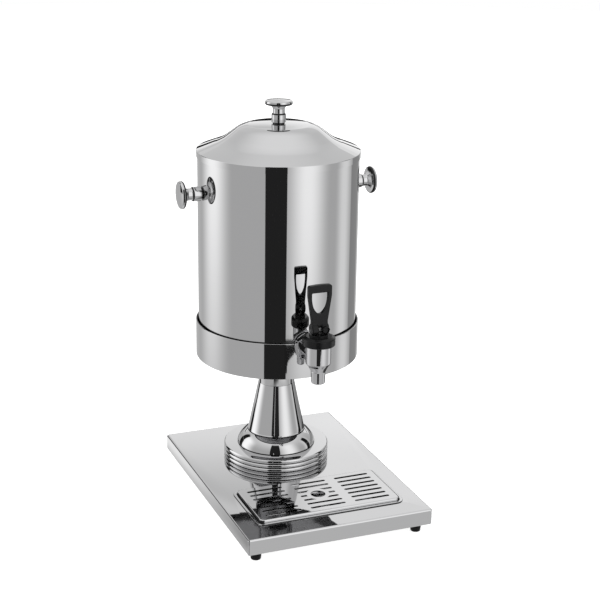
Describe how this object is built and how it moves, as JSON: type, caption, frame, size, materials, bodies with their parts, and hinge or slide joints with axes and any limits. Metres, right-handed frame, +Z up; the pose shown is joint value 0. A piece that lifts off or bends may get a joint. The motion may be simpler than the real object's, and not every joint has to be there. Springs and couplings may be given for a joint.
{
  "type": "milk dispenser",
  "caption": "Polished steel drink dispenser: a lidded cylindrical vessel with side knobs and a lever tap, on a turned pedestal over a folded base with a sunk drip tray and slotted grate.",
  "frame": {"origin": "on the floor under the middle of the base", "axes": "+Z up, -Y towards the front where the tap and the drip tray are, +X to the right seen from the front"},
  "size_m": [0.2824, 0.356, 0.547],
  "materials": {
    "polished_steel": "mirror-polished stainless steel sheet",
    "knob_steel": "turned and polished stainless steel",
    "tap_chrome": "chrome plate on cast brass",
    "plain_steel": "plain mill-finish stainless steel",
    "fastener_steel": "bright stainless steel",
    "black_plastic": "satin moulded black plastic",
    "black_rubber": "matt black rubber",
    "white_silicone": "matt white silicone"
  },
  "bodies": {
    "stand": {"base_plate": "polished_steel", "foot_front_left": "black_rubber", "foot_front_right": "black_rubber", "foot_rear_left": "black_rubber", "foot_rear_right": "black_rubber", "foot_screws": "fastener_steel", "foot_nuts": "fastener_steel", "pedestal_collar": "polished_steel", "pedestal_dome": "polished_steel", "pedestal_cone": "polished_steel", "pedestal_neck": "polished_steel", "tie_rod": "fastener_steel", "clamp_plate": "plain_steel", "tie_rod_washer": "fastener_steel", "tie_rod_nuts": "fastener_steel", "support_plate": "plain_steel", "band": "polished_steel", "vessel_spacer": "plain_steel", "vessel": "polished_steel", "vessel_studs": "fastener_steel", "vessel_nuts": "fastener_steel", "left_knob": "knob_steel", "right_knob": "knob_steel", "knob_screws": "fastener_steel", "knob_washers": "white_silicone", "tap_body": "tap_chrome", "tap_flange": "tap_chrome", "tap_outer_gasket": "black_rubber", "tap_inner_gasket": "white_silicone", "tap_lock_nut": "tap_chrome", "tap_bonnet": "black_plastic"},
    "tray": {"drip_tray": "polished_steel"},
    "grate": {"drip_grate": "polished_steel"},
    "lid": {"lid": "polished_steel", "lid_knob": "knob_steel", "lid_screw": "fastener_steel", "lid_washer": "white_silicone"},
    "stem": {"tap_stem": "fastener_steel", "tap_seat_cup": "white_silicone", "tap_spring": "fastener_steel"},
    "handle": {"tap_handle": "black_plastic", "tap_pin": "fastener_steel"}
  },
  "joints": [
    {"name": "drip_tray_lift", "type": "slide", "parent": "stand", "child": "tray", "axis": [0, 0, 1], "range_m": [0, 0.06]},
    {"name": "grate_lift", "type": "slide", "parent": "tray", "child": "grate", "axis": [0, 0, 1], "range_m": [0, 0.06]},
    {"name": "lid_lift", "type": "slide", "parent": "stand", "child": "lid", "axis": [0, 0, 1], "range_m": [0, 0.15]},
    {"name": "stem_lift", "type": "slide", "parent": "stand", "child": "stem", "axis": [0, 0, 1], "range_m": [0, 0.0024], "deforming": ["tap_spring"]},
    {"name": "handle_pull", "type": "hinge", "parent": "stem", "child": "handle", "pos_m": [0, -0.0867, 0.2734], "axis": [1, 0, 0], "range_deg": [0, 40], "stiffness_Nm_per_rad": 0.3, "springref_deg": -11.46}
  ],
  "couplings": [
    {"joint": "stem_lift", "follows": "handle_pull", "m_per_rad": 0.0032}
  ]
}
